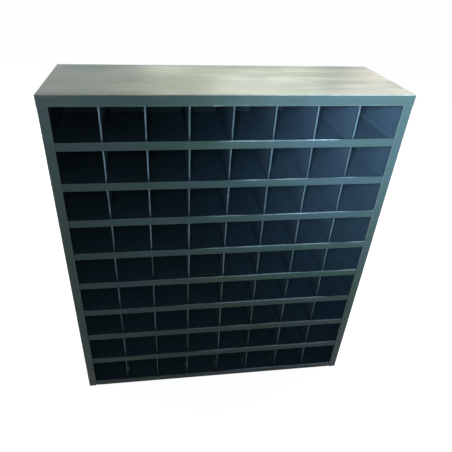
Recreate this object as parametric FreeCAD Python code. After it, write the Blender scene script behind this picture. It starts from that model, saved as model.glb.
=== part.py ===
"""Pigeonhole bin unit of folded sheet steel: a case, lipped shelves and upright dividers.

The case is a top panel, a base panel, two side panels and a back panel. Shelves run the full
width, each with an upturned front lip. A row of dividers stands on each shelf and on the base, and
keys into the sheet below it, and above it, with tabs. Blind rivets hold the shelves and the base
to the sides and to the back.

Frame: X runs across the width, Y from the open front (negative) to the back, and Z up. The origin
is the middle of the footprint, on the floor. All sizes are in millimetres.
"""
import FreeCAD
import Part

import math
import os

Vector = FreeCAD.Vector

# Overall size and grid
width = 914.0
depth = 305.0
columns = 8
rows = 9
row_pitch = 110.3           # underside of one shelf to the underside of the next
lower_rows = 2              # rows at the bottom that are a little taller
lower_row_pitch = 114.0     # the same for those rows
top_band_height = 27.5      # face of the top panel's front flange
jamb_width = 25.0           # face of each side panel's front flange
lip_height = 22.8           # face of the upturned lip of a shelf or the base

# Sheet
casing_gauge = 1.2
back_gauge = 0.9
shelf_gauge = 0.9
divider_gauge = 0.8
bend_radius = 1.2           # inside radius of an ordinary fold

# Hems: an edge folded back on itself, with a gap between its two layers
casing_hem_gap = 0.2
casing_hem_length = 8.0
lip_hem_gap = 1.8
lip_hem_length = 7.0
divider_hem_gap = 2.8
divider_hem_length = 9.0

# Flanges that join one panel to the next
side_top_flange = 16.0
side_rear_flange = 18.0
top_rear_flange = 15.0
shelf_end_flange = 15.0
shelf_rear_flange = 13.0
corner_relief = 6.0         # length of fold left out at a corner

# Dividers
divider_setback = 17.0      # front of a divider behind the face of the case
tab_length = 20.0
foot_tab_inset = 42.0       # end of the divider to the middle of the tab in the sheet below it
head_tab_inset = 92.0       # end of the divider to the middle of the tab in the sheet above it

# Rivets
rivet_radius = 1.6
rivet_head_radius = 3.3
rivet_head_height = 1.1
rivet_bulb_radius = 2.4
rivet_bulb_length = 2.2
mandrel_radius = 0.9
mandrel_recess = 0.5
side_rivet_inset = 45.0     # front or back of the case to a rivet in the side
rear_rivets_per_side = 4
side_rivet_margin = 80.0    # top or bottom of the case to a rivet in a side's rear flange

# Clearances
seam = 0.3                  # between two sheets that butt
lip_clearance = 0.3         # lip behind the hemmed jamb
tab_clearance = 0.25
rivet_clearance = 0.05

# Worked out from the sizes above
height = top_band_height + (rows - lower_rows) * row_pitch + lower_rows * lower_row_pitch
column_pitch = (width - 2 * jamb_width) / columns
front = -depth / 2
rear = depth / 2
half_width = width / 2
inner_half_width = half_width - casing_gauge
top_underside = height - casing_gauge
back_outer = rear - casing_gauge
back_inner = back_outer - back_gauge
casing_hem_thickness = 2 * casing_gauge + casing_hem_gap
lip_face = front + casing_hem_thickness + lip_clearance
divider_front = front + divider_setback
divider_rear = back_inner - shelf_gauge - bend_radius - seam
foot_tabs = (divider_front + foot_tab_inset, divider_rear - foot_tab_inset)
head_tabs = (divider_front + head_tab_inset, divider_rear - head_tab_inset)
hole_radius = rivet_radius + rivet_clearance


# ---------------------------------------------------------------- shapes shared by the sub-parts

def across(x):
    """Places a (y, z) section at one x."""
    return lambda y, z: Vector(x, y, z)


def along(y):
    """Places an (x, z) section at one y."""
    return lambda x, z: Vector(x, y, z)


def level_at(z):
    """Places an (x, y) section at one height."""
    return lambda x, y: Vector(x, y, z)


def outline_edges(points, place):
    """Edges of one face of a folded section: points are a start, three points for each fold, an end."""
    edges = []
    for i in range(0, len(points) - 1, 3):
        start, stop = points[i], points[i + 1]
        if (stop - start).Length > 1e-6:
            edges.append(Part.LineSegment(place(start.x, start.y), place(stop.x, stop.y)).toShape())
        if i + 3 < len(points):
            edges.append(Part.Arc(*[place(p.x, p.y) for p in points[i + 1:i + 4]]).toShape())
    return edges


def folded_sheet(path, gauge, radii, place, sweep):
    """A folded sheet swept along one axis.

    path lists the sharp corners of the sheet's outer face, and every fold turns left, towards the
    steel. radii are the inside radii of the folds, place turns a section's (u, v) into a point, and
    sweep is the length and direction of the sheet.
    """
    corners = [Vector(u, v, 0) for u, v in path]
    ways = [(b - a).normalize() for a, b in zip(corners, corners[1:])]
    lefts = [Vector(-way.y, way.x, 0) for way in ways]
    outer = [corners[0]]
    inner = [corners[0] + lefts[0] * gauge]
    for corner, way_in, way_out, left, radius in zip(corners[1:-1], ways, ways[1:], lefts, radii):
        outer_radius = radius + gauge
        set_back = outer_radius * math.tan(way_in.getAngle(way_out) / 2)
        fold_start = corner - way_in * set_back
        centre = fold_start + left * outer_radius
        spokes = [fold_start - centre, corner - centre, corner + way_out * set_back - centre]
        spokes = [Vector(spoke).normalize() for spoke in spokes]
        outer += [centre + spoke * outer_radius for spoke in spokes]
        inner += [centre + spoke * radius for spoke in spokes]
    outer.append(corners[-1])
    inner.append(corners[-1] + lefts[-1] * gauge)
    caps = [Part.LineSegment(place(a.x, a.y), place(b.x, b.y)).toShape()
            for a, b in ((inner[0], outer[0]), (outer[-1], inner[-1]))]
    inner_edges = outline_edges(inner, place)
    wire = Part.Wire([caps[0]] + outline_edges(outer, place) + [caps[1]] + inner_edges[::-1])
    return Part.Face(wire).extrude(sweep)


def block(x, y, z):
    """A box from three (low, high) pairs."""
    return Part.makeBox(x[1] - x[0], y[1] - y[0], z[1] - z[0], Vector(x[0], y[0], z[0]))


def joined(shapes):
    """One solid of several that meet."""
    return shapes[0].fuse(shapes[1:]).removeSplitter()


def cut_away(shape, tools):
    """The shape less every tool."""
    return shape.cut(Part.makeCompound(tools)) if tools else shape


def mirrored(shape):
    """The same shape on the other side of the middle."""
    return shape.mirror(Vector(0, 0, 0), Vector(1, 0, 0))


def spread(count, low, high):
    """Evenly spaced positions from low to high, both included."""
    return [low + i * (high - low) / (count - 1) for i in range(count)]


def underside(row):
    """Height of the underside of the sheet that carries a row; row 1 is the top one."""
    if row > rows - lower_rows:
        return (rows - row) * lower_row_pitch
    return height - top_band_height - row * row_pitch


def carrier_gauge(row):
    """Thickness of the sheet under a row: the base panel under the last one, else a shelf."""
    return casing_gauge if row == rows else shelf_gauge


def divider_faces():
    """Left face of each divider in a row, from the left."""
    return [(j - columns / 2) * column_pitch - divider_gauge / 2 for j in range(1, columns)]


# ---------------------------------------------------------------- rivets

def side_rivet_places():
    """(y, z) of each rivet in the left side, with the gauge of the sheet inside the panel."""
    places = []
    for row in range(1, rows + 1):
        gauge = carrier_gauge(row)
        z = underside(row) + gauge + shelf_end_flange / 2
        places += [(y, z, gauge) for y in (front + side_rivet_inset, rear - side_rivet_inset)]
    return places


def rear_rivet_places():
    """(x, z) of each rivet in the back panel, with the gauge of the sheet inside it."""
    places = []
    for row in range(1, rows + 1):
        gauge = carrier_gauge(row)
        z = underside(row) + gauge + shelf_rear_flange / 2
        for column in (1, 3, columns - 2, columns):
            places.append(((column - (columns + 1) / 2) * column_pitch, z, gauge))
    x = half_width - side_rear_flange / 2
    for z in spread(rear_rivets_per_side, side_rivet_margin, height - side_rivet_margin):
        places += [(-x, z, casing_gauge), (x, z, casing_gauge)]
    return places


def cap_arc(rim_radius, rim_z, rise, end_radius):
    """Section of a spherical cap: from its rim, inwards to end_radius; rise is negative below the rim."""
    sphere_radius = (rim_radius ** 2 + rise ** 2) / (2 * abs(rise))
    upward = math.copysign(1, rise)
    centre_z = rim_z + rise - upward * sphere_radius

    def on_cap(radius):
        return Vector(radius, 0, centre_z + upward * math.sqrt(sphere_radius ** 2 - radius ** 2))

    middle_radius = (rim_radius + end_radius) / 2
    return Part.Arc(on_cap(rim_radius), on_cap(middle_radius), on_cap(end_radius)).toShape()


def rivet(head_seat, outward, grip):
    """A set blind rivet: its head is on the seat, and its bulb is one grip further in."""
    shoulder = -grip - rivet_bulb_length / 2
    dome = cap_arc(rivet_head_radius, 0, rivet_head_height, mandrel_radius)
    bulb = cap_arc(rivet_bulb_radius, shoulder, -rivet_bulb_length / 2, 0)
    rim = dome.Vertexes[-1].Point
    recess_floor = rim - Vector(0, 0, mandrel_recess)
    upper = Part.makePolygon([bulb.Vertexes[-1].Point, Vector(0, 0, recess_floor.z), recess_floor, rim])
    lower = Part.makePolygon([Vector(rivet_head_radius, 0, 0), Vector(rivet_radius, 0, 0),
                              Vector(rivet_radius, 0, -grip), Vector(rivet_bulb_radius, 0, -grip),
                              Vector(rivet_bulb_radius, 0, shoulder)])
    wire = Part.Wire(upper.Edges + [dome] + lower.Edges + [bulb])
    solid = Part.Face(wire).revolve(Vector(0, 0, 0), Vector(0, 0, 1), 360)
    solid.Placement = FreeCAD.Placement(head_seat, FreeCAD.Rotation(Vector(0, 0, 1), outward))
    return solid


def rivet_hole(seat, outward, through):
    """The drill for a rivet, from outside its seat to a depth past the sheets that it joins."""
    return Part.makeCylinder(hole_radius, 2 * through, seat + outward * through, outward * -1)


def left_rivets():
    outward = Vector(-1, 0, 0)
    return [rivet(Vector(-half_width, y, z), outward, casing_gauge + gauge)
            for y, z, gauge in side_rivet_places()]


def rear_rivets():
    outward = Vector(0, 1, 0)
    return [rivet(Vector(x, back_outer, z), outward, back_gauge + gauge)
            for x, z, gauge in rear_rivet_places()]


def left_rivet_drills():
    through = 2 * casing_gauge + shelf_gauge
    return [rivet_hole(Vector(-half_width, y, z), Vector(-1, 0, 0), through)
            for y, z, _ in side_rivet_places()]


def rear_rivet_drills():
    through = casing_gauge + back_gauge + shelf_gauge
    return [rivet_hole(Vector(x, back_outer, z), Vector(0, 1, 0), through)
            for x, z, _ in rear_rivet_places()]


def drills_near(drills, low, high):
    """The drills whose middle lies between two heights."""
    return [drill for drill in drills if low < drill.CenterOfMass.z < high]


# ---------------------------------------------------------------- case

def make_top_panel():
    """Top sheet with a hemmed front band and a rear flange that laps the back panel."""
    band_bottom = height - top_band_height
    hem_radius = casing_hem_gap / 2
    flat_path = [(rear, height - top_rear_flange), (rear, height), (front, height), (front, band_bottom)]
    hem_path = flat_path + [(front + casing_hem_thickness, band_bottom),
                            (front + casing_hem_thickness, band_bottom + casing_hem_length)]
    hem_end = inner_half_width - lip_clearance
    middle = folded_sheet(hem_path, casing_gauge, [bend_radius, bend_radius, hem_radius, hem_radius],
                          across(-hem_end), Vector(2 * hem_end, 0, 0))
    left_end = folded_sheet(flat_path, casing_gauge, [bend_radius, bend_radius],
                            across(-half_width), Vector(half_width - hem_end, 0, 0))
    return joined([middle, left_end, mirrored(left_end)])


def make_left_side_panel():
    """Side sheet with a hemmed front jamb, a rear flange and a flange under the top panel."""
    jamb_edge = -half_width + jamb_width
    hem_radius = casing_hem_gap / 2
    jamb_back = front + casing_hem_thickness
    fold = casing_gauge + bend_radius
    plan = [(-half_width + side_rear_flange, back_inner), (-half_width, back_inner),
            (-half_width, front), (jamb_edge, front), (jamb_edge, jamb_back),
            (jamb_edge - casing_hem_length, jamb_back)]
    wall = folded_sheet(plan, casing_gauge, [bend_radius, bend_radius, hem_radius, hem_radius],
                        level_at(0), Vector(0, 0, top_underside))
    flange_start = jamb_back + corner_relief
    flange_end = back_inner - fold - corner_relief
    top_edge = block((-half_width - 1, -inner_half_width + bend_radius), (flange_start, flange_end),
                     (top_underside - fold, top_underside + 1))
    band_seat = height - top_band_height - seam
    over_band = (band_seat, height)
    jamb_notch = block((-half_width + fold, jamb_edge + 1), (front - 1, jamb_back + lip_clearance),
                       over_band)
    corner_notch = block((-half_width - 1, -half_width + fold), (front - 1, front + casing_gauge + seam),
                         over_band)
    wall = cut_away(wall, [top_edge, jamb_notch, corner_notch])
    flange_path = [(-half_width + side_top_flange, top_underside), (-half_width, top_underside),
                   (-half_width, top_underside - fold)]
    flange = folded_sheet(flange_path, casing_gauge, [bend_radius], along(flange_start),
                          Vector(0, flange_end - flange_start, 0))
    panel = joined([wall, flange])
    return cut_away(panel, left_rivet_drills() + rear_rivet_drills())


def make_back_panel():
    """Flat sheet that laps the rear flanges of the sides, shelves and base."""
    side_edge = half_width - casing_gauge - seam
    sheet = block((-side_edge, side_edge), (back_inner, back_outer), (casing_gauge, top_underside - seam))
    return cut_away(sheet, rear_rivet_drills())


# ---------------------------------------------------------------- shelves and base

def tab_slots(middles, bottom, gauge):
    """Slots through a sheet for one row's tabs."""
    slots = []
    for face in divider_faces():
        for middle in middles:
            slots.append(block((face - tab_clearance, face + divider_gauge + tab_clearance),
                               (middle - tab_length / 2 - tab_clearance,
                                middle + tab_length / 2 + tab_clearance),
                               (bottom - 1, bottom + gauge + 1)))
    return slots


def make_carrier(row):
    """The sheet under a row, a shelf or the base: a lip in front, and its ends and rear turned up."""
    gauge = carrier_gauge(row)
    bottom = underside(row)
    top = bottom + gauge
    fold = gauge + bend_radius
    plate_front = lip_face + fold
    plate_rear = back_inner - fold
    plate_side = inner_half_width - fold

    plate = block((-plate_side, plate_side), (plate_front, plate_rear), (bottom, top))
    hem_back = lip_face + 2 * gauge + lip_hem_gap
    lip_top = bottom + lip_height
    lip_path = [(hem_back, lip_top - lip_hem_length), (hem_back, lip_top), (lip_face, lip_top),
                (lip_face, bottom), (plate_front, bottom)]
    lip_end = inner_half_width - seam
    lip = folded_sheet(lip_path, gauge, [lip_hem_gap / 2, lip_hem_gap / 2, bend_radius],
                       across(-lip_end), Vector(2 * lip_end, 0, 0))
    rear_path = [(plate_rear, bottom), (back_inner, bottom), (back_inner, top + shelf_rear_flange)]
    rear_end = half_width - side_rear_flange - seam
    rear_flange = folded_sheet(rear_path, gauge, [bend_radius], across(-rear_end),
                               Vector(2 * rear_end, 0, 0))
    end_path = [(-inner_half_width, top + shelf_end_flange), (-inner_half_width, bottom),
                (-plate_side, bottom)]
    end_start = hem_back + corner_relief
    end_stop = plate_rear - corner_relief
    left_end = folded_sheet(end_path, gauge, [bend_radius], along(end_start),
                            Vector(0, end_stop - end_start, 0))

    sheet = joined([plate, lip, rear_flange, left_end, mirrored(left_end)])
    side_drills = drills_near(left_rivet_drills(), top, top + shelf_end_flange)
    drills = side_drills + [mirrored(drill) for drill in side_drills]
    drills += drills_near(rear_rivet_drills(), top, top + shelf_rear_flange)
    slots = tab_slots(foot_tabs, bottom, gauge)
    if row < rows:
        slots += tab_slots(head_tabs, bottom, gauge)
    return cut_away(sheet, drills + slots)


# ---------------------------------------------------------------- dividers

def make_divider(face, row):
    """One divider: an upright sheet with a hemmed front edge and tabs at its foot and head."""
    foot = underside(row) + carrier_gauge(row)
    head = top_underside if row == 1 else underside(row - 1)
    hem_side = face + 2 * divider_gauge + divider_hem_gap
    hem_radius = divider_hem_gap / 2
    plan = [(face, divider_rear), (face, divider_front), (hem_side, divider_front),
            (hem_side, divider_front + divider_hem_length)]
    sheet = folded_sheet(plan, divider_gauge, [hem_radius, hem_radius], level_at(foot),
                         Vector(0, 0, head - foot))
    tab_x = (face, face + divider_gauge)
    tabs = [block(tab_x, (middle - tab_length / 2, middle + tab_length / 2), (underside(row), foot))
            for middle in foot_tabs]
    if row > 1:
        tabs += [block(tab_x, (middle - tab_length / 2, middle + tab_length / 2),
                       (head, head + shelf_gauge)) for middle in head_tabs]
    return joined([sheet] + tabs)


# ---------------------------------------------------------------- sub-parts by name

def sub_parts():
    """Every sub-part's name and shape."""
    left_side = make_left_side_panel()
    rivets = left_rivets()
    shapes = {
        "top_panel": make_top_panel(),
        "base_panel": make_carrier(rows),
        "left_side_panel": left_side,
        "right_side_panel": mirrored(left_side),
        "back_panel": make_back_panel(),
        "left_side_rivets": Part.makeCompound(rivets),
        "right_side_rivets": Part.makeCompound([mirrored(one) for one in rivets]),
        "back_panel_rivets": Part.makeCompound(rear_rivets()),
    }
    for row in range(1, rows):
        shapes[f"shelf_{row}"] = make_carrier(row)
    for row in range(1, rows + 1):
        dividers = [make_divider(face, row) for face in divider_faces()]
        shapes[f"dividers_row_{row}"] = Part.makeCompound(dividers)
    return shapes


def main():
    os.makedirs("parts", exist_ok=True)
    for name, shape in sub_parts().items():
        shape.exportStep(f"parts/{name}.step")
        volume = sum(solid.Volume for solid in shape.Solids)
        print(f"{name}: {len(shape.Solids)} solids, {volume / 1000:.1f} cm3, valid {shape.isValid()}")


main()
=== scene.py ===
"""Looks of the pigeonhole unit: its enamel, its slightly sprung sheet metal, the light and the camera.

Everything is in metres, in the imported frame: X across the width, -Y towards the open front, Z up.
"""
import math

import bmesh
import bpy
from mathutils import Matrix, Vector, noise


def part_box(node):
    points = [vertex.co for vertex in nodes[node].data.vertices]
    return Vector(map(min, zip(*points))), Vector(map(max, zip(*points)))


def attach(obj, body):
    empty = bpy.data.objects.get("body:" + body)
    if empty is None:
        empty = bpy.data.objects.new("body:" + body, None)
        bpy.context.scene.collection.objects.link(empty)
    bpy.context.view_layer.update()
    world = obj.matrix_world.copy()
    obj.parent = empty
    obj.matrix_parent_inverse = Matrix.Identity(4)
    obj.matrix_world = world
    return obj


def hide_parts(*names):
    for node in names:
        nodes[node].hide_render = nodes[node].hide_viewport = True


MM = 0.001
hair = 0.2 * MM              # keeps a test or a face clear of an exact level

# Camera: pixel values are in the 452 by 452 picture
picture_side = 452
focal_pixels = 422.0
centre_pixel = (209.3, 228.7)
sensor_mm = 36.0
camera_place = (-0.1958, -1.1397, 1.3094)
camera_turn_degrees = (56.605, -1.998, -7.093)

# Paint, as sRGB values out of 255
paint_slate = (84, 104, 106)
paint_green_cast = (80, 102, 92)
paint_blue_cast = (86, 100, 116)
shelf_inside_haze = (87, 110, 116)      # painted cool haze: a bluer, lighter tone on the faces inside the case, standing in for the light over the cells
# the dividers' faces a little lighter again: painted light that evens out their shade against the shelf
# floors
divider_inside_haze = (91, 113, 121)
# worn folds of the casing, and a painted highlight along the top's front edge
casing_wear_highlight_colour = (192, 188, 170)
# painted highlight on the lips' rims
rim_highlight_colour = (208, 222, 222)
# worn paint and painted highlight on the dividers' front hems
hem_wear_highlight_colour = (188, 209, 229)
# dust with painted window reflection on the top
dust_and_glare_colour = (172, 173, 153)
# painted reflection streaks on the top
glare_streak_colour = (206, 205, 182)

# Enamel
casing_gloss = 0.20
sheet_gloss = 0.12
roughness_range = (0.30, 0.42)
casing_fade_depth = 7 * MM   # the painted haze tone inside starts this far behind the case's front
divider_fade_depth = 26 * MM
fade_length = 6 * MM
back_zone = 5 * MM           # the back and the folds behind it keep the outer tone
wave_height = 2.4 * MM       # long, shallow waves in the sheet
peel_height = 0.05 * MM      # fine unevenness of the sprayed paint
rear_dark_reflection = (60 * MM, 10 * MM)  # in front of the top's rear edge, the pale film thins out between these: a darker strip, a painted dark reflection along the rear fold
front_highlight_depth = 70 * MM       # a painted highlight makes the top paler this far behind its front edge

# Copies of the CAD meshes
merge_distance = 0.001 * MM
cut_tolerance = 0.0001 * MM
cut_spacing = 24 * MM
crease_degrees = 32          # faces that meet at a larger angle than this keep a sharp edge

# A point this close to the case's outer box is on the outer face concerned
outer_skin = 3 * MM
front_skin = 4 * MM
back_skin = 4 * MM
side_skin = 8 * MM
wall_gauge_zone = 2 * MM

# How far the thin sheet springs out of flat
lip_bow = 1.2 * MM
lip_ripple = 0.7 * MM
lip_rise = 1.1 * MM
lip_bow_waves = 3.2          # cells of noise per metre of lip
lip_ripple_waves = 11
lip_rise_waves = 5.3
lip_bend_height = 20 * MM    # a lip bends over this height below its top edge
lip_depth = 8 * MM           # a lip, with its hem, is this deep
lip_fade = 3 * MM            # over this depth its spring dies out into the flat sheet
joggle_length = 4 * MM       # the base's lip steps forward beside each jamb, flush with it
divider_lean = 1.4 * MM
divider_bow = 1.2 * MM
divider_bow_depth = 120 * MM
divider_tab_start = 31 * MM  # the first tab starts this far behind a divider's front edge
divider_end = 2 * MM         # its foot and head stay in place over this height, tabs included
top_spring = 0.9 * MM
top_margin = 70 * MM         # the folds hold the top flat over this width
wall_spring = 0.8 * MM
wall_margin = 60 * MM        # the same for the sides and the back
weld_seam = 0.3 * MM         # the solids' seam between a jamb's end and the front band
weld_rise = 1.6 * MM         # the jambs' ends rise over it, so that the joint reads as ground flush

# Wear and painted highlights on the folds: a value of 1 is bare of its colour
fold_strip = 1.5 * MM        # facets narrower than this belong to a fold
edge_rub = 0.2
rim_depth = 8 * MM           # the pale band, painted highlight on a lip's rim and wear with painted highlight on a divider's hem, lies this close to the front and to a lip's top
rim_strip = 2.8 * MM         # height of a lip's rim, with the edge of its face
glint_place = -41 * MM        # a painted glint on the lower edge of the front band
glint_half = 10 * MM
glint_height = 2.7 * MM
glint_strength = 4.0               # over 1, so that the glint is pale right to its ends

# Seeds of the patches of painted highlight on the lips' rims, one for each lip from the top down, and of
# the pale divider hems, one for each row of dividers.
# A search by another program picked them, as the nearest to brightness sampled from the photo.
rim_seeds = (1339, 899, 1178, 1248, 109, 732, 1096, 1114, 309)
hem_seeds = (164, 693, 428, 101, 181, 54, 1057, 505, 197)

# Studio: a white floor and world to the camera, and soft lamps
floor_side = 30.0
floor_bounce = 0.5
floor_shade_share = 0.4      # share of the light and shadow that the floor shows
floor_glow = 1.6
ambient_colour = (0.85, 0.9, 1.2, 1)
ambient_strength = 0.08
white = (1.0, 1.0, 1.0)
wide_open = 180
key_place = (-0.22, -1.2, 1.34)
key_target = (0.63, -0.15, 1.08)
key_size = (0.2, 0.2)

# Each lamp's name, place, target, size, colour, watts and spread in degrees. The windows make the glare
# on the top, and the keys the cool haze over the upper right. Colours and watts started from a
# least-squares fit to colours measured in the photo.
lamps = (
    ("overhead", (0.3, 1.4, 2.8), (0, 0.1, 1.0), (1.8, 1.0), (0.92, 1.0, 0.70), 34, wide_open),
    ("window_left", (-0.06, 2.5, 1.98), (-0.15, 0, 1.0), (0.3, 0.6), (0.93, 1.0, 0.87), 1.7, wide_open),
    ("window_middle", (0.72, 2.5, 2.02), (0.2, 0, 1.0), (1.0, 0.6), (0.96, 1.0, 0.87), 9.2, wide_open),
    ("window_right", (2.05, 2.5, 2.05), (0.4, 0, 1.0), (1.0, 0.6), (1.0, 0.83, 0.72), 8.4, wide_open),
    ("right_fill", (2.6, 1.0, 1.4), (0.45, 0, 0.6), (1.0, 1.0), (0.96, 0.94, 1.0), 27, wide_open),
    ("left_fill", (-2.6, 1.0, 0.9), (-0.45, 0, 0.5), (1.0, 1.0), white, 26, wide_open),
    ("back_fill", (-0.8, 3.0, 0.8), (0, 0.15, 0.5), (1.6, 0.8), white, 26, wide_open),
    ("low_front", (0.55, -2.2, 0.3), (0.45, -0.15, 1.08), (0.6, 0.4), (0.62, 1.0, 0.95), 1.45, 50),
    ("low_left", (-0.9, -2.2, 0.4), (-0.3, -0.15, 1.0), (0.6, 0.4), (0.7, 1.0, 0.9), 0.4, 60),
    ("key_narrow", key_place, key_target, key_size, (0.58, 0.68, 1.0), 3.25, 55),
    ("key_wide", key_place, key_target, key_size, (0.32, 0.58, 1.0), 1.9, 75),
    ("key_fill", key_place, key_target, key_size, (0.58, 0.78, 1.0), 1.55, wide_open),
)

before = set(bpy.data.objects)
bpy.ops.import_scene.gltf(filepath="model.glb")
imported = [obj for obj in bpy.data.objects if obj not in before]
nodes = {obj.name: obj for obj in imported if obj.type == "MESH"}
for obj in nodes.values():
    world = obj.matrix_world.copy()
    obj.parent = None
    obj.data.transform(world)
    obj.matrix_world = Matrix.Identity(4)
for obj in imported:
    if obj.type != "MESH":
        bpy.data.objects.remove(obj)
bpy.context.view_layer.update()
columns = 8
shelf_nodes = sorted(name for name in nodes if name.startswith("shelf_"))
divider_nodes = sorted(name for name in nodes if name.startswith("dividers_row_"))
side_low, side_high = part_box("left_side_panel")
top_low, top_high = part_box("top_panel")
back_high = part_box("back_panel")[1]
half_width = top_high[0]
front_y = top_low[1]
rear_y = back_high[1]
case_height = top_high[2]
jamb_width = side_high[0] - side_low[0]
column_pitch = 2 * (half_width - jamb_width) / columns
joggle_start = half_width - jamb_width - 0.5 * MM  # just inside each jamb
band_bottom = top_low[2]
jamb_top = band_bottom - weld_seam


# ---------------------------------------------------------------- small helpers

def linear(srgb):
    """An sRGB colour out of 255 as linear RGBA."""
    channels = [value / 255 for value in srgb]
    return [c / 12.92 if c <= 0.04045 else ((c + 0.055) / 1.055) ** 2.4 for c in channels] + [1.0]


def smooth(value, low, high):
    """0 below low, 1 above high, and a smooth rise between them."""
    t = min(max((value - low) / (high - low), 0.0), 1.0)
    return t * t * (3 - 2 * t)


def wander(position, seed):
    """Smooth noise from -1 to 1 along a line that is the seed's own. Another seed is unrelated to it."""
    return noise.noise(Vector((position, seed * 7.31, seed * 3.17)))


def patch(u, v, seed):
    """Smooth noise from -1 to 1 over a plane that is the seed's own."""
    return noise.noise(Vector((u, v, seed * 5.73)))


def held_at_edges(u, low_u, high_u, v, low_v, high_v, margin):
    """1 in the middle of a sheet, falling to 0 at its edges."""
    across = smooth(u, low_u, low_u + margin) * smooth(-u, -high_u, -high_u + margin)
    return across * smooth(v, low_v, low_v + margin) * smooth(-v, -high_v, -high_v + margin)


# ---------------------------------------------------------------- sheet metal that isn't quite flat

def strip_width(face):
    """Width of a long, narrow face."""
    longest = max(edge.calc_length() for edge in face.edges)
    share = 2 if len(face.verts) == 3 else 1
    return share * face.calc_area() / longest


def mark_folds(bm, pale_at):
    """A vertex attribute for how pale a fold is, with wear and painted highlight. It is 0 on the flat
    sheet.
    """
    layer = bm.verts.layers.float.new("wear_and_highlight")
    for vertex in bm.verts:
        widest = max((strip_width(face) for face in vertex.link_faces), default=1.0)
        vertex[layer] = pale_at(vertex.co) if widest < fold_strip else 0.0


def cut_at(bm, axis, level):
    """Cuts the mesh across one axis, without splitting it."""
    normal = Vector([1.0 if i == axis else 0.0 for i in range(3)])
    geometry = bm.verts[:] + bm.edges[:] + bm.faces[:]
    bmesh.ops.bisect_plane(bm, geom=geometry, dist=cut_tolerance, plane_co=normal * level, plane_no=normal)


def even_cuts(low, high):
    """Levels of evenly spaced cuts between two ends."""
    count = max(1, round((high - low) / cut_spacing))
    return [low + (high - low) * i / count for i in range(1, count)]


def dressed(node, spring, pale_at, cut_axes, extra_cuts=()):
    """A copy of a CAD node's mesh, cut finely along some axes, with each point moved by spring(point)."""
    source = nodes[node]
    bm = bmesh.new()
    bm.from_mesh(source.data)
    bm.transform(source.matrix_world)
    bmesh.ops.remove_doubles(bm, verts=bm.verts, dist=merge_distance)
    low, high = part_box(node)
    cuts = [(axis, level) for axis in cut_axes for level in even_cuts(low[axis], high[axis])]
    for axis, level in cuts + list(extra_cuts):
        cut_at(bm, axis, level)
    mark_folds(bm, pale_at)
    for vertex in bm.verts:
        vertex.co += spring(vertex.co.copy())
    mesh = bpy.data.meshes.new(f"{node}_sheet")
    bm.to_mesh(mesh)
    bm.free()
    mesh.shade_smooth()
    mesh.set_sharp_from_angle(angle=math.radians(crease_degrees))
    piece = bpy.data.objects.new(f"{node}_sheet", mesh)
    bpy.context.scene.collection.objects.link(piece)
    weighted = piece.modifiers.new("flat faces stay flat", "WEIGHTED_NORMAL")
    weighted.keep_sharp = True
    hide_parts(node)
    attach(piece, "root")
    return piece


def top_spring_at(point):
    """The top sheet oil-cans a little between its folded edges."""
    hold = held_at_edges(point.x, -half_width, half_width, point.y, front_y, rear_y, top_margin)
    if point.z < case_height - outer_skin:
        hold = 0.0
    return Vector((0, 0, top_spring * hold * (0.5 + patch(3.1 * point.x, 7.0 * point.y, 2))))


def side_spring_at(point):
    """A side wall bulges outwards between its folds, and its jamb is ground flush with the front band."""
    outward = math.copysign(1, point.x)
    bulge = held_at_edges(point.y, front_y, rear_y, point.z, 0, case_height, wall_margin)
    if abs(point.x) < half_width - side_skin:
        bulge = 0.0
    bulge *= 0.5 + 0.5 * patch(6 * point.y, 4 * point.z, 5 * outward)
    on_jamb = point.y < front_y + outer_skin and abs(point.x) < half_width - wall_gauge_zone
    rise = weld_rise if on_jamb and abs(point.z - jamb_top) < hair else 0.0
    return Vector((outward * wall_spring * bulge, 0, rise))


def back_spring_at(point):
    """The thin back bulges outwards between its rivets."""
    hold = held_at_edges(point.x, -half_width, half_width, point.z, 0, case_height, wall_margin)
    if point.y < rear_y - back_skin:
        hold = 0.0
    return Vector((0, wall_spring * hold * (0.5 + 0.5 * patch(5 * point.x, 5 * point.z, 9)), 0))


def lip_spring_for(node, seed):
    """The upturned lip of a shelf or of the base bows and ripples towards its free top edge."""
    low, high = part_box(node)
    lip_top = high[2]
    lip_foot = lip_top - lip_bend_height
    lip_back = low[1] + lip_depth
    joggle = low[1] - front_y - hair if node == "base_panel" else 0.0

    def spring(point):
        in_lip = smooth(-point.y, -lip_back, -lip_back + lip_fade)
        free = in_lip * smooth(point.z, lip_foot, lip_top)
        free *= smooth(half_width - abs(point.x), jamb_width * 0.4, jamb_width * 2)
        bow = lip_bow * wander(lip_bow_waves * point.x + 11, seed)
        bow += lip_ripple * wander(lip_ripple_waves * point.x, seed + 20)
        rise = lip_rise * wander(lip_rise_waves * point.x + 5, seed + 40)
        forward = joggle * in_lip * smooth(joggle_start - abs(point.x), 0.0, joggle_length)
        return Vector((0, free * bow - forward, free * rise))

    return spring


def divider_spring_for(node, seed):
    """Each divider is bent a little in front of its tabs, and bows between its foot and its head."""
    low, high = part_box(node)
    foot = low[2] + divider_end
    head = high[2] - divider_end

    def spring(point):
        column = math.floor(point.x / column_pitch + 0.5)
        back = point.y - low[1]
        rise = min(max((point.z - foot) / (head - foot), 0.0), 1.0)
        bent = divider_lean * wander(2.7 * column + 0.4, seed)
        bent += 1.5 * divider_lean * wander(3.9 * column + 9.2, seed + 30) * (rise - 0.5)
        bow = divider_bow * wander(4.3 * column + 2.2, seed + 60) * 4 * rise * (1 - rise)
        shift = (1 - smooth(back, 0, divider_tab_start)) * bent
        shift += (1 - smooth(back, 0, divider_bow_depth)) * bow
        return Vector((shift, 0, 0))

    return spring


# ---------------------------------------------------------------- wear and painted highlights on the folds

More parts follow.
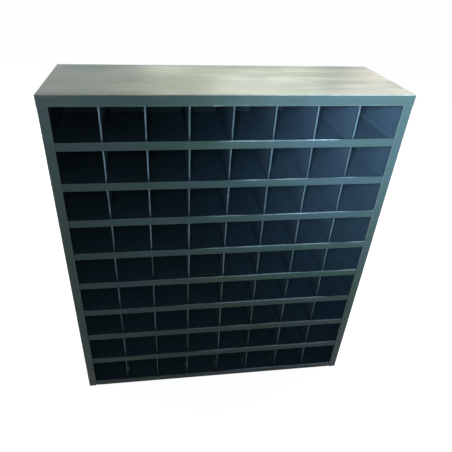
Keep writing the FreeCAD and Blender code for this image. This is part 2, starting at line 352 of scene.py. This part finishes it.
def casing_wear_and_highlight(point):
    """The casing's folds are worn lightly; the top's front edge carries a painted highlight, and the front
    band's lower edge a painted glint.
    """
    at_top = point.z > case_height - outer_skin
    if point.y > front_y + front_skin:
        at_side = abs(point.x) > half_width - outer_skin
        at_rear = point.y > rear_y - outer_skin
        return edge_rub if at_side + at_top + at_rear >= 2 else 0.0
    if at_top:
        # a painted highlight along the top's front edge
        return 0.6 + 0.4 * smooth(point.x, -0.2, 0.1)
    if abs(point.x - glint_place) < glint_half and abs(point.z - band_bottom) < 1.1 * glint_height:
        # a painted glint on the front band's lower edge
        return glint_strength
    return edge_rub + 0.3 * patch(5 * point.x, 5 * point.z, 3)


def lip_rim_highlight_for(node, seed):
    """A lip's rim carries patches of painted highlight, most towards the right."""
    low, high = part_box(node)

    def pale_at(point):
        if point.y > low[1] + rim_depth or point.z < high[2] - rim_depth:
            return 0.0
        extent = 0.15 + 0.85 * smooth(point.x, -0.15, 0.05)
        # patches of painted highlight along the rim
        return extent * smooth(wander(10 * point.x + 3, rim_seeds[seed - 1]), -0.15, 0.3)

    return pale_at


def divider_hem_wear_and_highlight_for(node, seed):
    """Each divider's front hem is paled to its own degree, as worn paint and as a painted highlight on its
    round edge, more in the upper rows on the left.
    """
    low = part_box(node)[0]

    def pale_at(point):
        if point.y > low[1] + rim_depth:
            return 0.0
        column = math.floor(point.x / column_pitch + 0.5)
        upper_left = smooth(point.z, 0.5 * case_height, 0.95 * case_height)
        upper_left *= smooth(-point.x, -0.1, 0.25)
        own = wander(3.3 * column + 1.7, hem_seeds[seed - 1])
        return max(0.0, 0.25 + 0.5 * upper_left + 0.5 * own)

    return pale_at


# ---------------------------------------------------------------- enamel

class Nodes:
    """Short names for building a material's node tree."""

    def __init__(self, name):
        self.material = bpy.data.materials.new(name)
        self.material.use_nodes = True
        self.tree = self.material.node_tree
        self.shader = self.tree.nodes["Principled BSDF"]
        self.coordinates = self.tree.nodes.new("ShaderNodeTexCoord").outputs["Object"]

    def new(self, kind, **settings):
        """A new node, with its own settings."""
        node = self.tree.nodes.new(f"ShaderNode{kind}")
        for key, value in settings.items():
            setattr(node, key, value)
        return node

    def link(self, source, target):
        self.tree.links.new(source, target)

    def fill(self, socket, value):
        """Sets a socket to a number or colour, or links it to another socket."""
        if isinstance(value, bpy.types.NodeSocket):
            self.link(value, socket)
        else:
            socket.default_value = value

    def maths(self, operation, *values):
        """One operation on numbers or sockets."""
        node = self.new("Math", operation=operation)
        for socket, value in zip(node.inputs, values):
            self.fill(socket, value)
        return node.outputs[0]

    def mix(self, amount, first, second):
        """A colour between two colours, which a Mix node takes at its sockets 6 and 7."""
        node = self.new("Mix", data_type="RGBA")
        for index, value in ((0, amount), (6, first), (7, second)):
            self.fill(node.inputs[index], value)
        return node.outputs[2]

    def stretch(self, scale):
        """Object coordinates scaled along each axis."""
        node = self.new("Mapping")
        self.link(self.coordinates, node.inputs["Vector"])
        node.inputs["Scale"].default_value = scale
        return node.outputs["Vector"]

    def noise(self, scale, detail, vector=None):
        """Smooth noise around 0.5; scale is in cells per metre."""
        node = self.new("TexNoise")
        self.link(vector or self.coordinates, node.inputs["Vector"])
        node.inputs["Scale"].default_value = scale
        node.inputs["Detail"].default_value = detail
        return node.outputs["Fac"]

    def ramp(self, value, low, high, low_out=0.0, high_out=1.0):
        """Maps low..high to low_out..high_out, smoothly and clamped."""
        node = self.new("MapRange", interpolation_type="SMOOTHSTEP")
        self.fill(node.inputs["Value"], value)
        limits = {"From Min": low, "From Max": high, "To Min": low_out, "To Max": high_out}
        for name, number in limits.items():
            self.fill(node.inputs[name], number)
        return node.outputs["Result"]

    def part(self, vector, index):
        """One of a vector's three parts."""
        node = self.new("SeparateXYZ")
        self.link(vector, node.inputs[0])
        return node.outputs[index]

    def bump(self, height, strength, distance, under=None):
        """A bumped normal, over another one if it is given."""
        node = self.new("Bump")
        node.inputs["Strength"].default_value = strength
        node.inputs["Distance"].default_value = distance
        self.link(height, node.inputs["Height"])
        if under:
            self.link(under, node.inputs["Normal"])
        return node.outputs["Normal"]


def painted(n):
    """The enamel's own tone: slate, with greener and bluer patches."""
    slate = n.ramp(n.noise(scale=3.1, detail=4.0), 0.35, 0.68)
    colour = n.mix(slate, linear(paint_green_cast), linear(paint_slate))
    patches = n.noise(scale=5.3, detail=2.0, vector=n.stretch((1, 1, 1.6)))
    return n.mix(n.ramp(patches, 0.5, 0.72, 0.0, 0.5), colour, linear(paint_blue_cast))


def inside_painted_haze(n, colour, inside_haze_paint, start):
    """A bluer, lighter tone on the faces inside the case, behind the front: a painted cool haze of light.
    """
    inside = n.ramp(n.part(n.coordinates, 1), start, start + fade_length)
    limits = (half_width - hair, rear_y - back_zone, case_height - outer_skin)
    for index, limit in enumerate(limits):
        level = n.maths("ABSOLUTE", n.part(n.coordinates, index))
        inside = n.maths("MULTIPLY", inside, n.maths("LESS_THAN", level, limit))
    uneven = n.ramp(n.noise(scale=6.1, detail=2.0), 0.3, 0.7, 0.8, 1.0)
    return n.mix(n.maths("MULTIPLY", inside, uneven), colour, linear(inside_haze_paint))


def folds_worn_and_highlighted(n, colour, fold_wear_highlight_paint):
    """Folded edges are paled unevenly, with worn paint and painted highlights."""
    wear_and_highlight = n.new("Attribute", attribute_name="wear_and_highlight").outputs["Fac"]
    uneven = n.ramp(n.noise(scale=38, detail=5.0), 0.3, 0.6, 0.55, 1.0)
    return n.mix(n.maths("MULTIPLY", wear_and_highlight, uneven), colour, linear(fold_wear_highlight_paint))


def on_the_top(n):
    """1 on the unit's own top face and 0 elsewhere."""
    upward = n.ramp(n.part(n.new("NewGeometry").outputs["Normal"], 2), 0.85, 0.98)
    high = n.maths("GREATER_THAN", n.part(n.coordinates, 2), case_height - outer_skin)
    return n.maths("MULTIPLY", upward, high)


def dust_and_painted_glare(n, colour, top):
    """A pale film of dust and painted window reflection on the top, thin at its left end and along its
    rear edge, where the darker strip is a painted dark reflection, with painted reflection streaks and a
    painted highlight along the front.
    """
    x = n.part(n.coordinates, 0)
    y = n.part(n.coordinates, 1)
    border = n.ramp(n.noise(scale=3.4, detail=1.0), 0.3, 0.7, -0.08, 0.08)
    across = n.maths("ADD", x, border)

    clouds = n.noise(scale=4.2, detail=0.5, vector=n.stretch((0.8, 2.0, 1)))
    film = n.ramp(clouds, 0.3, 0.7, 0.0, 0.18)
    film = n.maths("ADD", film, n.ramp(across, -0.32, -0.06, 0.06, 0.50))
    rear_start, rear_end = [rear_y - distance for distance in rear_dark_reflection]
    film = n.maths("SUBTRACT", film, n.ramp(y, rear_start, rear_end, 0.0, 0.5))
    colour = n.mix(n.maths("MULTIPLY", top, film), colour, linear(dust_and_glare_colour))

    streaks = n.noise(scale=2.4, detail=1.0, vector=n.stretch((1.8, 11, 1)))
    glare_strokes = n.ramp(streaks, 0.40, 0.80, 0.0, 0.65)
    glare_strokes = n.maths("MULTIPLY", glare_strokes, n.ramp(across, -0.30, -0.10))
    front = n.ramp(y, front_y, front_y + front_highlight_depth, 0.6, 0.0)
    front = n.maths("MULTIPLY", front, n.ramp(across, -0.1, 0.2))
    glare_strokes = n.maths("MAXIMUM", glare_strokes, front)
    return n.mix(n.maths("MULTIPLY", top, glare_strokes), colour, linear(glare_streak_colour))


def enamel(name, gloss, fold_wear_highlight_paint, inside_haze_paint, inside_start):
    """Semi-gloss enamel on sheet steel that isn't quite flat: folds pale with wear and painted highlight,
    a painted cool haze inside, and dust with painted reflections on the unit's top.
    """
    n = Nodes(name)
    top = on_the_top(n)
    # the faces inside the case get a painted cool haze
    colour = inside_painted_haze(n, painted(n), inside_haze_paint, inside_start)
    colour = folds_worn_and_highlighted(n, colour, fold_wear_highlight_paint)
    # the top gets dust and painted reflections
    n.link(dust_and_painted_glare(n, colour, top), n.shader.inputs["Base Color"])

    smudges = n.ramp(n.noise(scale=7.5, detail=1.0), 0.3, 0.7, *roughness_range)
    n.link(smudges, n.shader.inputs["Roughness"])
    n.shader.inputs["Specular IOR Level"].default_value = gloss

    peel = n.bump(n.noise(scale=620, detail=2.0), strength=0.35, distance=peel_height)
    waves = n.noise(scale=9, detail=0.0, vector=n.stretch((1, 2.0, 2.2)))
    calm = n.maths("MULTIPLY", top, 0.6)
    waves = n.maths("MULTIPLY", waves, n.maths("SUBTRACT", 1.0, calm))
    normal = n.bump(waves, strength=0.8, distance=wave_height, under=peel)
    n.link(normal, n.shader.inputs["Normal"])
    return n.material


# ---------------------------------------------------------------- lights, floor and camera

def area_light(name, place, target, size, colour, watts, spread):
    """A rectangular lamp that the camera doesn't see."""
    data = bpy.data.lights.new(name, "AREA")
    data.shape = "RECTANGLE"
    data.size, data.size_y = size
    data.color = colour
    data.energy = watts
    data.spread = math.radians(spread)
    light = bpy.data.objects.new(name, data)
    light.location = place
    light.rotation_euler = (Vector(target) - Vector(place)).to_track_quat("-Z", "Y").to_euler()
    light.visible_camera = False
    bpy.context.scene.collection.objects.link(light)


def seen_directly(tree):
    """1 for camera, glossy and transmission rays, which see the pale background."""
    path = tree.nodes.new("ShaderNodeLightPath")
    total = path.outputs["Is Camera Ray"]
    for name in ("Is Glossy Ray", "Is Transmission Ray"):
        add = tree.nodes.new("ShaderNodeMath")
        add.operation = "MAXIMUM"
        tree.links.new(total, add.inputs[0])
        tree.links.new(path.outputs[name], add.inputs[1])
        total = add.outputs[0]
    return total


def make_world(ambient, strength):
    """A weak ambient light, and white where it is seen directly."""
    world = bpy.data.worlds.new("studio")
    bpy.context.scene.world = world
    world.use_nodes = True
    tree = world.node_tree
    fill = tree.nodes["Background"]
    fill.inputs["Color"].default_value = ambient
    fill.inputs["Strength"].default_value = strength
    backdrop = tree.nodes.new("ShaderNodeBackground")
    backdrop.inputs["Color"].default_value = (1, 1, 1, 1)
    mix = tree.nodes.new("ShaderNodeMixShader")
    tree.links.new(seen_directly(tree), mix.inputs["Fac"])
    tree.links.new(fill.outputs[0], mix.inputs[1])
    tree.links.new(backdrop.outputs[0], mix.inputs[2])
    tree.links.new(mix.outputs[0], tree.nodes["World Output"].inputs["Surface"])


def make_floor(side, bounce, shade_share, glow):
    """A pale floor: white to the camera, and keeping a share of the light and shadow that fall on it."""
    mesh = bpy.data.meshes.new("floor")
    half = side / 2
    corners = [(-half, -half, 0), (half, -half, 0), (half, half, 0), (-half, half, 0)]
    mesh.from_pydata(corners, [], [(0, 1, 2, 3)])
    floor = bpy.data.objects.new("floor", mesh)
    bpy.context.scene.collection.objects.link(floor)
    material = bpy.data.materials.new("pale_floor")
    material.use_nodes = True
    tree = material.node_tree
    tree.nodes.remove(tree.nodes["Principled BSDF"])
    matt = tree.nodes.new("ShaderNodeBsdfDiffuse")
    matt.inputs["Color"].default_value = (bounce, bounce, bounce, 1)
    lit = tree.nodes.new("ShaderNodeBsdfDiffuse")
    lit.inputs["Color"].default_value = (1, 1, 1, 1)
    glowing = tree.nodes.new("ShaderNodeEmission")
    glowing.inputs["Strength"].default_value = glow
    shown = tree.nodes.new("ShaderNodeMixShader")
    shown.inputs["Fac"].default_value = shade_share
    tree.links.new(glowing.outputs[0], shown.inputs[1])
    tree.links.new(lit.outputs[0], shown.inputs[2])
    mix = tree.nodes.new("ShaderNodeMixShader")
    tree.links.new(seen_directly(tree), mix.inputs["Fac"])
    tree.links.new(matt.outputs[0], mix.inputs[1])
    tree.links.new(shown.outputs[0], mix.inputs[2])
    tree.links.new(mix.outputs[0], tree.nodes["Material Output"].inputs["Surface"])
    mesh.materials.append(material)


def make_camera():
    """The camera that was fitted to the unit's corners and edges."""
    data = bpy.data.cameras.new("camera")
    data.sensor_width = sensor_mm
    data.lens = focal_pixels / picture_side * sensor_mm
    data.shift_x = (picture_side / 2 - centre_pixel[0]) / picture_side
    data.shift_y = (centre_pixel[1] - picture_side / 2) / picture_side
    camera = bpy.data.objects.new("camera", data)
    camera.location = camera_place
    camera.rotation_euler = [math.radians(angle) for angle in camera_turn_degrees]
    bpy.context.scene.collection.objects.link(camera)
    bpy.context.scene.camera = camera


# ---------------------------------------------------------------- the unit

def paint(piece, material):
    """Gives a piece one material."""
    piece.data.materials.clear()
    piece.data.materials.append(material)


def dress_unit():
    """Puts an enamelled, slightly sprung sheet in the place of every CAD node."""
    inside_start = front_y + casing_fade_depth
    divider_start = front_y + divider_fade_depth
    casing = enamel("casing_enamel", casing_gloss, casing_wear_highlight_colour, shelf_inside_haze, inside_start)
    shelving = enamel("shelf_enamel", sheet_gloss, rim_highlight_colour, shelf_inside_haze, inside_start)
    dividing = enamel("divider_enamel", sheet_gloss, hem_wear_highlight_colour, divider_inside_haze, divider_start)

    def dress(node, spring, pale_at, cut_axes, material, extra_cuts=()):
        piece = dressed(node, spring, pale_at, cut_axes, extra_cuts)
        paint(piece, material)

    glint_reaches = (glint_half - MM, glint_half + 2 * MM)
    band_cuts = [(0, glint_place + sign * extent) for sign in (-1, 1) for extent in glint_reaches]
    band_cuts.append((2, band_bottom + glint_height))
    dress("top_panel", top_spring_at, casing_wear_and_highlight, (0, 1), casing, band_cuts)
    dress("back_panel", back_spring_at, casing_wear_and_highlight, (0, 2), casing)
    dress("back_panel_rivets", back_spring_at, casing_wear_and_highlight, (), casing)
    for side in ("left_side", "right_side"):
        dress(f"{side}_panel", side_spring_at, casing_wear_and_highlight, (1, 2), casing)
        dress(f"{side}_rivets", side_spring_at, casing_wear_and_highlight, (), casing)
    for seed, node in enumerate(shelf_nodes + ["base_panel"], 1):
        cuts = [(2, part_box(node)[1][2] - rim_strip)]
        if node == "base_panel":
            cuts += [(0, sign * (joggle_start - back)) for sign in (-1, 1) for back in (0, joggle_length)]
        dress(node, lip_spring_for(node, seed), lip_rim_highlight_for(node, seed), (0,), shelving, cuts)
    for seed, node in enumerate(divider_nodes, 1):
        dress(node, divider_spring_for(node, seed), divider_hem_wear_and_highlight_for(node, seed), (1, 2), dividing)


make_camera()
dress_unit()
make_floor(floor_side, floor_bounce, floor_shade_share, floor_glow)
make_world(ambient_colour, ambient_strength)
for lamp in lamps:
    area_light(*lamp)
bpy.context.scene.view_settings.view_transform = "Standard"
